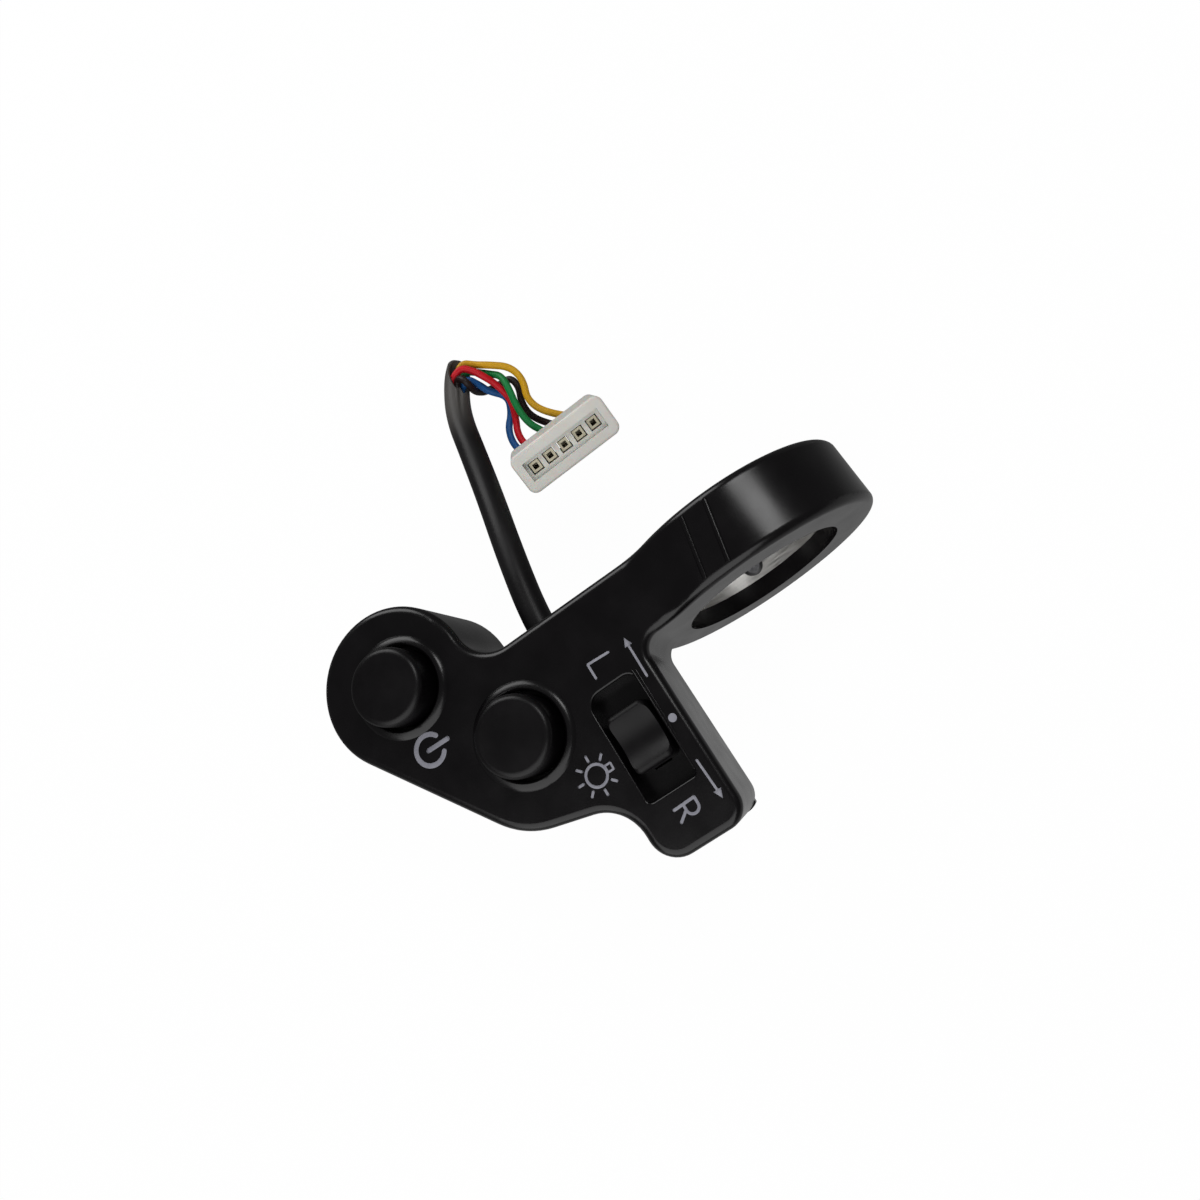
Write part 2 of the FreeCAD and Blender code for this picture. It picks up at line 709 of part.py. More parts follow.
def switch_base(name, x, y):
    """The plate that closes the case from below and holds its pins."""
    plate = box(name + "_sheet", x, y, "board_top", "case_side - 2 * case_wall - 2 * slip",
                "case_side - 2 * case_wall - 2 * slip", "base_thickness")
    holes = [rod("%s_hole_%d" % (name, number), px, py, "board_top - 1", "pin_radius + slip", "base_thickness + 2")
             for number, (px, py) in enumerate(pin_places(x, y))]
    return cut(name, plate, *holes)


def switch_pins(name, x, y):
    """Four riveted pins, each with a contact head above the base."""
    pins = []
    for number, (px, py) in enumerate(pin_places(x, y)):
        leg = rod("%s_leg_%d" % (name, number), px, py, BOARD_LOW + " - pin_below", "pin_radius",
                  "%s - %s + pin_below" % (BASE_TOP, BOARD_LOW))
        head = rod("%s_head_%d" % (name, number), px, py, BASE_TOP, "pin_head_radius", "pin_head")
        pins.append(join("%s_pin_%d" % (name, number), leg, head))
    return group(name, *pins)


def plunger(name, x, y):
    """The stem with its collar, which lifts the button and carries the bridge."""
    profile = [
        ("0", "%s - %s" % (STEM_TOP, COLLAR_LOW)),
        ("stem_radius", "%s - %s" % (STEM_TOP, COLLAR_LOW)),
        ("stem_radius", "collar_height"),
        ("collar_radius", "collar_height"),
        ("collar_radius", "0"),
        ("0", "0"),
    ]
    return stand(turned(name, profile), x, y, COLLAR_LOW)


def bent(start, corner, end):
    """The arc that leaves one point towards a corner and reaches the next, touching both sides."""
    turn = (corner - start).getAngle(end - corner)
    outward = (start + end) * 0.5 - corner
    outward.normalize()
    radius = (corner - start).Length / math.tan(turn / 2)
    return Part.Arc(start, corner + outward * (radius / math.cos(turn / 2) - radius), end).toShape()


def coil_path(radius, rise, turns):
    """A coil's centre line, two smoothly joined arcs to each quarter turn."""
    climb = rise / turns / (2 * math.pi)

    def place(angle):
        return Vector(radius * math.cos(angle), radius * math.sin(angle), climb * angle)

    def heading(angle):
        way = Vector(-radius * math.sin(angle), radius * math.cos(angle), climb)
        return way.normalize()

    edges = []
    for quarter in range(4 * turns):
        first, last = quarter * math.pi / 2, (quarter + 1) * math.pi / 2
        chord = place(last) - place(first)
        ways = heading(first) + heading(last)
        spread = 2 * (1 - heading(first).dot(heading(last)))
        lean = 2 * chord.dot(ways)
        reach = (math.sqrt(lean ** 2 + 4 * spread * chord.dot(chord)) - lean) / (2 * spread)
        leave = place(first) + heading(first) * reach
        arrive = place(last) - heading(last) * reach
        meet = (leave + arrive) * 0.5
        edges += [bent(place(first), leave, meet), bent(meet, arrive, place(last))]
    return Part.Wire(edges), heading(0.0)


def return_spring(name, x, y):
    """The coil that pushes the button back up."""
    wire, radius = size("coil_wire"), size("coil_radius")
    rise = value_of(COLLAR_LOW + " - " + BASE_TOP) - 2 * wire
    path, heading = coil_path(radius, rise, int(size("coil_turns")))
    start = Part.Wire(Part.makeCircle(wire, Vector(radius, 0, 0), heading))
    coil = path.makePipeShell([start], True, False)
    return stand(feature(name, coil), x, y, BASE_TOP + " + coil_wire")


def bridge(name, x, y):
    """The moving contact: a springy ring with a tongue over each pin."""
    low = "(%s - bridge_thickness)" % COLLAR_LOW
    plate = rod(name + "_plate", x, y, low, "bridge_outer", "bridge_thickness")
    middle = rod(name + "_middle", x, y, low + " - 1", "bridge_inner", "bridge_thickness + 2")
    return cut(name, plate, middle)


for side, place in (("power", POWER), ("light", LIGHT)):
    stem = side + "_switch_"
    node(side + "_button", button(side + "_cap", place))
    node(stem + "case", switch_case(side + "_case", *place))
    node(stem + "base", switch_base(side + "_base", *place))
    node(stem + "pins", switch_pins(side + "_pins", *place))
    node(stem + "plunger", plunger(side + "_stem", *place))
    node(stem + "bridge", bridge(side + "_bridge", *place))
    node(stem + "spring", return_spring(side + "_coil", *place))


# Turn-signal slider and its switch

KNOB_LOW = "(%s + knob_lift)" % POCKET_LEVEL
KNOB_TOP = "(panel_level + knob_proud)"
LEVER_TOP = "(%s - knob_dish - 0.6)" % KNOB_TOP
CAN_TOP = "(board_top + can_height)"
PLATE_TOP = "(%s - can_wall - 0.15)" % CAN_TOP
PLATE_LOW = "(%s - lever_plate)" % PLATE_TOP
CAN_FLOOR = "(board_top + can_base)"


def slider_knob():
    """The thumb piece: a block with a hollow worn across it for the thumb."""
    block = box("knob_block", "slider_x", "slider_y", KNOB_LOW, "knob_length", "knob_width",
                "%s - %s" % (KNOB_TOP, KNOB_LOW))
    half, dish = size("knob_length") / 2 - 0.7, size("knob_dish")
    bend = (half ** 2 + dish ** 2) / (2 * dish)
    scoop = doc.addObject("Part::Cylinder", "knob_scoop")
    scoop.Placement = Placement(Vector(), Rotation(AXES["z"], AXES["y"]))
    scoop.Radius = bend
    bind(scoop, Height="2 * knob_width")
    stand(scoop, "slider_x", "slider_y - knob_width", "%s - knob_dish + %r" % (KNOB_TOP, bend))
    soft = round_edges("knob_soft", block, size("knob_edge"),
                       lambda edge: edge.BoundBox.ZLength > 1 or on_level(edge, value_of(KNOB_TOP)))
    socket = box("knob_socket", "slider_x", "slider_y", KNOB_LOW + " - 1", "lever_side + 2 * slip",
                 "lever_side + 2 * slip", "%s - %s + 1.1" % (LEVER_TOP, KNOB_LOW))
    return cut("knob", soft, scoop, socket)


def slide_lever():
    """The plate inside the switch and the post that the knob is pressed on."""
    plate = box("lever_foot", "slider_x", "slider_y", PLATE_LOW, "lever_plate_length", "lever_plate_width",
                "lever_plate")
    post = box("lever_post", "slider_x", "slider_y", PLATE_TOP, "lever_side", "lever_side",
               "%s - %s" % (LEVER_TOP, PLATE_TOP))
    return join("lever", plate, post)


def slide_can():
    """The folded metal can of the slide switch, open below."""
    shell = box("can_shell", "slider_x", "slider_y", "board_top", "can_length", "can_width", "can_height")
    inside = box("can_inside", "slider_x", "slider_y", "board_top - 1", "can_length - 2 * can_wall",
                 "can_width - 2 * can_wall", "can_height - can_wall + 1")
    slot = box("can_slot", "slider_x", "slider_y", "board_top", SLOT_LENGTH, SLOT_WIDTH, "can_height + 1")
    return cut("can", shell, inside, slot)


def terminal_places():
    """Four terminals in a row under the slider."""
    return [("slider_x + %s * terminal_spacing" % step, "slider_y") for step in ("(-1.5)", "(-0.5)", "0.5", "1.5")]


def slide_base():
    """The insulating plate under the can, with a hole for each terminal."""
    plate = box("slide_sheet", "slider_x", "slider_y", "board_top", "can_length - 2 * can_wall - 2 * slip",
                "can_width - 2 * can_wall - 2 * slip", "can_base")
    holes = [rod("slide_hole_%d" % number, x, y, "board_top - 1", "pin_radius + slip", "can_base + 2")
             for number, (x, y) in enumerate(terminal_places())]
    return cut("slide_base", plate, *holes)


def slide_terminals():
    """Four pins with contact heads for the wiper to run over."""
    pins = []
    for number, (x, y) in enumerate(terminal_places()):
        leg = rod("slide_leg_%d" % number, x, y, BOARD_LOW + " - pin_below", "pin_radius",
                  "%s - %s + pin_below" % (CAN_FLOOR, BOARD_LOW))
        head = rod("slide_head_%d" % number, x, y, CAN_FLOOR, "pin_head_radius", "pin_head")
        pins.append(join("slide_pin_%d" % number, leg, head))
    return group("slide_pins", *pins)


def wiper():
    """A bowed spring strip under the lever that bridges two terminals."""
    low = value_of(CAN_FLOOR + " + pin_head + wiper_gap")
    high, thick = value_of(PLATE_LOW), size("wiper_strip")
    half_x, half_y = size("lever_plate_length") / 2 - 0.2, size("wiper_width") / 2
    line = [(-half_x, low), (-half_x / 2, high - thick), (half_x / 2, high - thick), (half_x, low)]
    lower = [Vector(x, -half_y, z) for x, z in line]
    upper = [Vector(x, -half_y, z + thick) for x, z in reversed(line)]
    face = Part.Face(Part.makePolygon(lower + upper + lower[:1]))
    return stand(feature("wiper_strip_bent", face.extrude(Vector(0, 2 * half_y, 0))), "slider_x", "slider_y")


node("slider_knob", slider_knob())
node("slide_switch_lever", slide_lever())
node("slide_switch_can", slide_can())
node("slide_switch_base", slide_base())
node("slide_switch_pins", slide_terminals())
node("slide_switch_wiper", wiper())


# Circuit board and its screws


def circuit_board():
    """The board that carries the three switches, with a hole for each pin and post."""
    plate = trimmed("board", "shell_wall + board_clearance", BOARD_LOW, "board_thickness",
                    "neck_floor_y - board_clearance")
    cutters = []
    for number, (x, y) in enumerate(COVER_POSTS):
        cutters.append(rod("board_gap_%d" % number, x, y, BOARD_LOW + " - 1", "cover_post_radius + post_clearance",
                           "board_thickness + 2"))
    for number, (x, y) in enumerate(BOARD_POSTS):
        cutters.append(rod("board_hole_%d" % number, x, y, BOARD_LOW + " - 1", "board_screw_radius + 0.15",
                           "board_thickness + 2"))
    for number, (x, y) in enumerate(pin_places(*POWER) + pin_places(*LIGHT) + terminal_places()):
        cutters.append(rod("board_pad_%d" % number, x, y, BOARD_LOW + " - 1", "pin_radius + slip",
                           "board_thickness + 2"))
    return cut("board_cut", plate, *cutters)


node("circuit_board", circuit_board())
node("board_screws", group("board_screw_set", *[
    pan_screw("board_screw_%d" % number, x, y, BOARD_LOW, "board_head_radius", "board_head",
              "board_screw_radius", "board_screw_length - 0.5")
    for number, (x, y) in enumerate(BOARD_POSTS)]))


# Lead: grommet, tie, sheath, wires and plug


def grommet():
    """The rubber bush in the neck's wall, with a lip inside and out."""
    bore = "(sheath_radius + slip)"
    outer = "(%s + grommet_wall - slip)" % bore
    lip = "(%s + grommet_flange)" % bore
    inside = "(grommet_lip + shell_wall)"
    profile = [
        (bore, "0"), (lip, "0"), (lip, "grommet_lip"), (outer, "grommet_lip"), (outer, inside),
        (lip, inside), (lip, inside + " + grommet_lip"), (bore, inside + " + grommet_lip"),
    ]
    item = turned("grommet_bush", profile)
    item.Placement = Placement(Vector(), Rotation(AXES["z"], AXES["x"]))
    return stand(item, OUTER_WALL_X + " - grommet_lip", "lead_y", "lead_level")


def cable_tie():
    """The tie pulled round the sheath inside, so the lead can't be pulled out."""
    start = "(%s + grommet_lip + 0.15)" % INNER_WALL_X
    band = rod("tie_band", start, "lead_y", "lead_level", "sheath_radius + slip + tie_thickness", "tie_width", "x")
    block = box("tie_head", start + " + tie_width / 2", "lead_y",
                "lead_level + sheath_radius + tie_thickness / 2", "tie_width", "2 * tie_block", "tie_block")
    hole = rod("tie_hole", start + " - 1", "lead_y", "lead_level", "sheath_radius + slip", "tie_width + 2", "x")
    return cut("tie", join("tie_whole", band, block), hole)


node("cable_grommet", grommet())
node("cable_tie", cable_tie())


def cord_path(points):
    """Straight runs joined by tangent arcs, each as large as its two runs allow."""
    edges = []
    radii = []
    start = points[0]
    for before, here, after in zip(points, points[1:], points[2:]):
        back, ahead = before - here, after - here
        shorter = min(back.Length, ahead.Length)
        turn = math.pi - back.getAngle(ahead)
        radius = 0.45 * shorter / math.tan(turn / 2)
        radii.append(round(radius, 1))
        back.normalize()
        ahead.normalize()
        enter = here + back * (0.45 * shorter)
        leave = here + ahead * (0.45 * shorter)
        centre_line = back + ahead
        centre_line.normalize()
        middle = here + centre_line * (radius / math.cos(turn / 2) - radius)
        edges.append(Part.LineSegment(start, enter).toShape())
        edges.append(Part.Arc(enter, middle, leave).toShape())
        start = leave
    edges.append(Part.LineSegment(start, points[-1]).toShape())
    return Part.Wire(edges), radii


def cord(name, points, radius):
    """A round tube along a route; prints its bend radii, length and volume check."""
    route = [Vector(*point) for point in points]
    path, radii = cord_path(route)
    start = Part.Wire(Part.makeCircle(radius, route[0], route[1] - route[0]))
    tube = path.makePipeShell([start], True, False)
    print(name, "length %.1f" % path.Length, "radii", radii,
          "volume ratio %.4f" % (tube.Volume / (math.pi * radius ** 2 * path.Length)))
    return feature(name, tube)


SHEATH_ROUTE = [
    (1.0, -27.3, 4.5), (-8.2, -27.3, 4.5), (-17.5, -26.1, 3.3), (-27.1, -24.9, 0.8),
    (-36.0, -24.0, -1.4), (-43.0, -23.2, -2.6), (-48.1, -20.9, -3.2),
]
WIRE_ROUTES = {
    "yellow": [
        (-48.50, -21.72, -2.92), (-50.21, -20.95, -3.12), (-51.29, -19.48, -2.53), (-51.14, -17.23, -3.04),
        (-48.60, -15.94, -3.25), (-45.65, -12.23, -4.20), (-42.68, -11.82, -5.11), (-39.79, -13.11, -5.59),
        (-37.01, -12.04, -6.86), (-35.72, -9.91, -8.22), (-32.38, -7.52, -7.22), (-30.43, -7.19, -4.09),
    ],
    "red": [
        (-48.20, -20.87, -2.25), (-49.29, -20.37, -2.37), (-49.93, -19.37, -2.09), (-49.69, -17.31, -1.66),
        (-47.59, -16.45, -1.65), (-45.26, -15.77, -4.66), (-42.32, -15.35, -6.38), (-39.47, -16.48, -7.07),
        (-37.32, -17.64, -7.29), (-34.72, -17.53, -7.42), (-32.01, -14.99, -6.62), (-30.08, -14.66, -3.55),
    ],
    "green": [
        (-48.25, -21.44, -3.98), (-49.90, -20.70, -4.17), (-50.89, -19.58, -6.00), (-50.60, -16.70, -6.04),
        (-48.03, -16.25, -4.83), (-45.69, -14.37, -4.45), (-42.85, -14.48, -4.20), (-39.81, -15.18, -5.12),
        (-36.96, -15.13, -6.14), (-35.04, -14.04, -7.37), (-31.93, -12.46, -6.51), (-30.20, -12.17, -3.73),
    ],
    "blue": [
        (-47.76, -20.06, -2.89), (-48.66, -19.65, -3.00), (-49.30, -18.78, -3.41), (-49.49, -17.67, -4.96),
        (-47.60, -17.87, -7.19), (-44.89, -16.97, -6.13), (-43.40, -15.78, -7.21), (-41.15, -16.75, -7.81),
        (-38.96, -18.49, -7.53), (-35.72, -19.15, -7.48), (-31.92, -17.48, -6.48), (-29.97, -17.15, -3.36),
    ],
    "black": [
        (-47.79, -20.41, -3.97), (-48.65, -20.02, -4.07), (-49.26, -19.48, -4.65), (-49.66, -18.73, -6.28),
        (-48.00, -18.29, -8.37), (-47.13, -15.74, -8.31), (-46.21, -13.65, -7.83), (-43.93, -13.45, -7.81),
        (-41.83, -14.50, -8.04), (-38.96, -14.53, -8.42), (-36.00, -12.66, -8.72), (-32.27, -10.01, -7.04),
        (-30.31, -9.68, -3.91),
    ],
}

node("cable_sheath", cord("sheath_tube", SHEATH_ROUTE, size("sheath_radius")))
for colour, route in WIRE_ROUTES.items():
    node("wire_" + colour, cord(colour + "_tube", route, size("wire_radius")))


def inner_leads():
    """The five bare ends of the wires inside, from the sheath down to the board."""
    start_x = SHEATH_ROUTE[0][0]
    ring = size("wire_ring")
    drops = [2, 1, 0, 0, 1]
    leads = []
    for number, drop in enumerate(drops):
        angle = math.radians(90 + 72 * number)
        y = size("lead_y") + ring * math.cos(angle)
        z = size("lead_level") + ring * math.sin(angle)
        end_x = start_x + size("leads_first_drop") + drop * size("leads_drop_step")
        route = [(start_x, y, z), (end_x, y, z), (end_x, y, size("board_top"))]
        leads.append(cord("inner_lead_%d" % number, route, size("wire_radius") - 0.05))
    return group("inner_lead_set", *leads)


node("inner_leads", inner_leads())

# The plug's own frame: long side along X, face up at zero, wires in from below.
PLUG_FACE = Vector(-25.7, -11.4, 3.45)
PLUG_LONG = Vector(-0.0463, 0.9963, -0.0728)
PLUG_UP = Vector(0.5276, 0.0893, 0.8448)
PLUG_TURN = Rotation(PLUG_LONG, Vector(), PLUG_UP, "ZXY")


def in_plug(item):
    """Put a piece drawn in the plug's own frame where the plug hangs."""
    item.Placement = Placement(PLUG_FACE, PLUG_TURN)
    return item


def pin_steps():
    """Where the five ways of the plug lie along it."""
    return ["(%d) * way_spacing" % step for step in range(-2, 3)]


def plug_body():
    """The nylon shell: a rounded block with five through cavities and a shallow mouth."""
    block = box("plug_block", "0", "0", "-plug_depth", "plug_length", "plug_width", "plug_depth")
    cornered = round_edges("plug_cornered", block, size("plug_corner"), lambda edge: edge.BoundBox.ZLength > 1)
    soft = round_edges("plug_soft", cornered, size("plug_edge"), lambda edge: edge.BoundBox.ZLength < TINY)
    mouth = box("plug_mouth", "0", "0", "-plug_recess_depth", "plug_recess_length", "plug_recess_width",
                "plug_recess_depth + 1")
    ways = [box("plug_way_%d" % number, x, "0", "-plug_depth - 1", "plug_cavity", "plug_cavity", "plug_depth + 2")
            for number, x in enumerate(pin_steps())]
    body = cut("plug_cut", soft, mouth, *ways)
    doc.recompute()
    return in_plug(group("plug_shell", body))


def plug_contacts():
    """Five crimped contacts, each a square tube that a pin slides into."""
    top = "(-plug_recess_depth - contact_below)"
    low = "(wire_entry - plug_depth + slip)"
    length = "(%s - %s)" % (top, low)
    contacts = []
    for number, x in enumerate(pin_steps()):
        tube = box("contact_tube_%d" % number, x, "0", low, "contact_side", "contact_side", length)
        hole = box("contact_hole_%d" % number, x, "0", low + " + 2", "contact_hole", "contact_hole", length)
        contacts.append(cut("contact_%d" % number, tube, hole))
    return in_plug(group("contact_set", *contacts))


node("plug_housing", plug_body())
node("plug_contacts", plug_contacts())


# Check every object, then write each piece to its own file

doc.recompute()
for item in doc.Objects:
    if "Invalid" in item.State or "Error" in item.State:
        raise SystemExit("failed object: %s %s" % (item.Name, item.State))
for name, item in NODES.items():
    shape = item.Shape
    if shape.isNull() or not shape.isValid() or not shape.Solids:
        raise SystemExit("bad shape: " + name)

os.makedirs("parts", exist_ok=True)
for name, item in NODES.items():
    item.Shape.exportStep("parts/%s.step" % name)
    print(name, "solids", len(item.Shape.Solids), "volume %.2f" % item.Shape.Volume)
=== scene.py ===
"""Looks for a scooter's handlebar switch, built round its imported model.

Everything is in metres in the model's own frame: the origin is the centre of
the bar bore, +X runs along the bar and +Z is the way the panel faces. Sizes
below are written in millimetres and scaled where they are used. Only the
floor's size and the lamps' sizes and distances are written in metres.
"""
import math

import bmesh
import bpy
from mathutils import Matrix, Vector


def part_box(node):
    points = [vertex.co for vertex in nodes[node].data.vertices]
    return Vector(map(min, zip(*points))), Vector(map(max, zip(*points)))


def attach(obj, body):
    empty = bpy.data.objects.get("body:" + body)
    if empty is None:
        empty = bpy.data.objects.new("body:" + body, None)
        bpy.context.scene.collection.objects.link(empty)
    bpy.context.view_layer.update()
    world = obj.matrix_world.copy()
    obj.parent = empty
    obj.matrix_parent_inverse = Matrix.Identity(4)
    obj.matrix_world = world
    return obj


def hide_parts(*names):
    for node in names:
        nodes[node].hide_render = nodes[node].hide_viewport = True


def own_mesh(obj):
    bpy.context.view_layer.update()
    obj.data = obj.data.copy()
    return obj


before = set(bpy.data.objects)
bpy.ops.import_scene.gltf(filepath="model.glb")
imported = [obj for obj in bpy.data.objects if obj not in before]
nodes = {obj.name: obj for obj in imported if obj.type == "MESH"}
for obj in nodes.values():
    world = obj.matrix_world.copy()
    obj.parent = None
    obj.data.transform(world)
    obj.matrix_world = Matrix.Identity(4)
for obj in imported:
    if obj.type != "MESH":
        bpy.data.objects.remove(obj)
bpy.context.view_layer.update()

MM = 0.001
SHELL = "switch_shell"
BUTTONS = ("power", "light")


def mm(*values):
    """A point given in millimetres, in metres."""
    return Vector(values) * MM


# Nodes of materials

# The stretch of a noise pattern's values over which it carries a change
ROUGHNESS_SPAN = (0.3, 0.7)
COLOUR_SPAN = (0.32, 0.68)


def surface_of(material):
    """The surface shader of a material."""
    return material.node_tree.nodes["Principled BSDF"]


def start_material(name, colour, roughness, metallic=0.0, shine=0.5):
    """A named finish and its surface shader."""
    material = bpy.data.materials.new(name)
    material.use_nodes = True
    surface = surface_of(material)
    surface.inputs["Base Color"].default_value = (*colour, 1)
    surface.inputs["Roughness"].default_value = roughness
    surface.inputs["Metallic"].default_value = metallic
    surface.inputs["Specular IOR Level"].default_value = shine
    return material, surface


def add_node(owner, kind, inputs=None, **settings):
    """A node of a material or world, with its own settings and then its socket values."""
    node = owner.node_tree.nodes.new(kind)
    for key, value in settings.items():
        setattr(node, key, value)
    for key, value in (inputs or {}).items():
        node.inputs[key].default_value = value
    return node


def join_sockets(owner, *pairs):
    """Link output sockets to input sockets."""
    for source, target in pairs:
        owner.node_tree.links.new(source, target)


def grain(material, scale, detail=3.0, stretch=(1, 1, 1)):
    """Noise fixed to the piece, with its scale in features per millimetre."""
    place = add_node(material, "ShaderNodeTexCoord")
    turn = add_node(material, "ShaderNodeMapping", {"Scale": stretch})
    noise = add_node(material, "ShaderNodeTexNoise", {"Scale": scale / MM, "Detail": detail})
    join_sockets(material, (place.outputs["Object"], turn.inputs["Vector"]),
                 (turn.outputs["Vector"], noise.inputs["Vector"]))
    return noise.outputs["Fac"]


def vary_roughness(material, surface, source, low, high):
    """Let a pattern carry the roughness between two values."""
    first, last = ROUGHNESS_SPAN
    spread = add_node(material, "ShaderNodeMapRange",
                      {"From Min": first, "From Max": last, "To Min": low, "To Max": high})
    join_sockets(material, (source, spread.inputs["Value"]),
                 (spread.outputs["Result"], surface.inputs["Roughness"]))


def vary_colour(material, surface, source, dark, light):
    """Let a pattern carry the colour between two tones."""
    ramp = add_node(material, "ShaderNodeValToRGB")
    for stop, position, tone in zip(ramp.color_ramp.elements, COLOUR_SPAN, (dark, light)):
        stop.position = position
        stop.color = (*tone, 1)
    join_sockets(material, (source, ramp.inputs["Fac"]),
                 (ramp.outputs["Color"], surface.inputs["Base Color"]))


def add_bump(material, surface, source, depth):
    """Let a pattern raise the surface by a depth in millimetres."""
    bump = add_node(material, "ShaderNodeBump", {"Strength": 0.5, "Distance": depth * MM})
    join_sockets(material, (source, bump.inputs["Height"]),
                 (bump.outputs["Normal"], surface.inputs["Normal"]))


# Kinds of finish

CLOUD_SCALE, SKIN_SCALE = 0.15, 2
STREAK_DETAIL, STREAK_SHADE = 4.0, 0.82
# Painted sheen on the sheath: its colour goes grey along X over this stretch, standing in for
# light on it near the mouth
SHEATH_PAINTED_SHEEN_ALONG_X = (-37, -46)
SHEATH_PAINTED_SHEEN_GREY = (0.07, 0.066, 0.062)
LACQUER, LACQUER_SHADE = (0.01, 0.09, 0.03), (0.012, 0.1, 0.035)
LACQUERED_COPPER = (0.03, 0.2, 0.07)


def moulded(name, dark, light, low, high, bump=0.01, scale=1.6, shine=0.5):
    """Moulded plastic: faint cloudiness, uneven polish and a fine skin."""
    material, surface = start_material(name, dark, low, shine=shine)
    cloud = grain(material, scale * CLOUD_SCALE)
    skin = grain(material, scale * SKIN_SCALE)
    vary_colour(material, surface, cloud, dark, light)
    vary_roughness(material, surface, cloud, low, high)
    add_bump(material, surface, skin, bump)
    return material


def metal(name, colour, low, high, stretch=(1, 1, 1), scale=3.0, bump=0.004):
    """Drawn or turned metal with fine streaks."""
    material, surface = start_material(name, colour, low, metallic=1.0)
    streak = grain(material, scale, STREAK_DETAIL, stretch)
    vary_roughness(material, surface, streak, low, high)
    vary_colour(material, surface, streak, [part * STREAK_SHADE for part in colour], colour)
    add_bump(material, surface, streak, bump)
    return material


def sheath_with_painted_sheen():
    """Black sheath with a painted sheen: its colour turns grey over the stretch near its mouth,
    where it is creased.
    """
    material = moulded("sheath_black", (0.004, 0.0035, 0.004), (0.006, 0.0055, 0.006),
                       0.36, 0.46, bump=0.02, scale=0.8, shine=0.22)
    surface = surface_of(material)
    plain = surface.inputs["Base Color"].links[0].from_socket
    # Painted sheen: the colour is mixed towards grey along X, in place of light falling on the
    # sheath
    first, last = SHEATH_PAINTED_SHEEN_ALONG_X
    place = add_node(material, "ShaderNodeTexCoord")
    along = add_node(material, "ShaderNodeSeparateXYZ")
    share = add_node(material, "ShaderNodeMapRange",
                     {"From Min": first * MM, "From Max": last * MM},
                     interpolation_type="SMOOTHSTEP")
    mix = add_node(material, "ShaderNodeMix", {"B": (*SHEATH_PAINTED_SHEEN_GREY, 1)}, data_type="RGBA")
    join_sockets(material, (place.outputs["Object"], along.inputs["Vector"]),
                 (along.outputs["X"], share.inputs["Value"]),
                 (share.outputs["Result"], mix.inputs["Factor"]), (plain, mix.inputs["A"]),
                 (mix.outputs["Result"], surface.inputs["Base Color"]))
    return material


def board_finish():
    """Green board lacquer over faint copper tracks."""
    material, surface = start_material("board_lacquer", LACQUER, 0.35)
    place = add_node(material, "ShaderNodeTexCoord")
    tracks = add_node(material, "ShaderNodeTexBrick",
                      {"Scale": 0.35 / MM, "Mortar Size": 0.06, "Color1": (*LACQUER, 1),
                       "Color2": (*LACQUER_SHADE, 1), "Mortar": (*LACQUERED_COPPER, 1)})
    join_sockets(material, (place.outputs["Object"], tracks.inputs["Vector"]),
                 (tracks.outputs["Color"], surface.inputs["Base Color"]))
    add_bump(material, surface, tracks.outputs["Fac"], 0.03)
    return material


# Finishes: two tones, the smoothest and the roughest polish, then what is special

shell_black = moulded("shell_black", (0.0016, 0.0012, 0.0016), (0.0024, 0.0019, 0.0024),
                      0.2, 0.27, bump=0.006, shine=0.33)
cap_black = moulded("cap_black", (0.0014, 0.001, 0.0014), (0.0022, 0.0017, 0.0022),
                    0.3, 0.38, bump=0.008, shine=0.25)
knob_black = moulded("knob_black", (0.0018, 0.0014, 0.0018), (0.0026, 0.0021, 0.0026),
                     0.4, 0.5, shine=0.2)
sheath_black = sheath_with_painted_sheen()
grommet_black = moulded("grommet_black", (0.01, 0.01, 0.01), (0.014, 0.014, 0.014),
                        0.5, 0.65, bump=0.02)
symbol_ink = moulded("symbol_ink", (0.2, 0.2, 0.235), (0.26, 0.26, 0.295),
                     0.5, 0.65, bump=0.004, scale=3.0)
plug_nylon = moulded("plug_nylon", (0.62, 0.61, 0.56), (0.68, 0.67, 0.625), 0.35, 0.45)
surface_of(plug_nylon).inputs["Subsurface Weight"].default_value = 0.2
surface_of(plug_nylon).inputs["Subsurface Scale"].default_value = 1.5 * MM
switch_moulding = moulded("switch_moulding", (0.014, 0.014, 0.015), (0.02, 0.02, 0.021), 0.5, 0.6)
stem_ivory = moulded("stem_ivory", (0.6, 0.58, 0.5), (0.68, 0.66, 0.58), 0.4, 0.5)
tie_nylon = moulded("tie_nylon", (0.6, 0.59, 0.54), (0.68, 0.67, 0.62), 0.4, 0.5)
sleeve_steel = metal("sleeve_steel", (0.62, 0.61, 0.59), 0.3, 0.55,
                     stretch=(3.0, 0.4, 0.4), scale=1.2, bump=0.02)
screw_zinc = metal("screw_zinc", (0.22, 0.22, 0.23), 0.3, 0.5)
can_tin = metal("can_tin", (0.55, 0.55, 0.53), 0.25, 0.4)
spring_steel = metal("spring_steel", (0.45, 0.45, 0.46), 0.2, 0.35)
contact_brass = metal("contact_brass", (0.5, 0.47, 0.36), 0.45, 0.6)
lead_grey = moulded("lead_grey", (0.2, 0.2, 0.2), (0.26, 0.26, 0.26), 0.4, 0.5)
board_green = board_finish()

WIRE_COLOURS = {
    "yellow": (0.54, 0.29, 0.007),
    "red": (0.5, 0.004, 0.012),
    "green": (0.004, 0.17, 0.04),
    "blue": (0.01, 0.085, 0.27),
    "black": (0.012, 0.006, 0.0055),
}
WIRE_LIGHTER = 1.15
wire_finish = {
    colour: moulded("wire_" + colour + "_skin", tone, [part * WIRE_LIGHTER for part in tone],
                    0.4, 0.5, shine=0.25)
    for colour, tone in WIRE_COLOURS.items()
}


# The model's own pieces

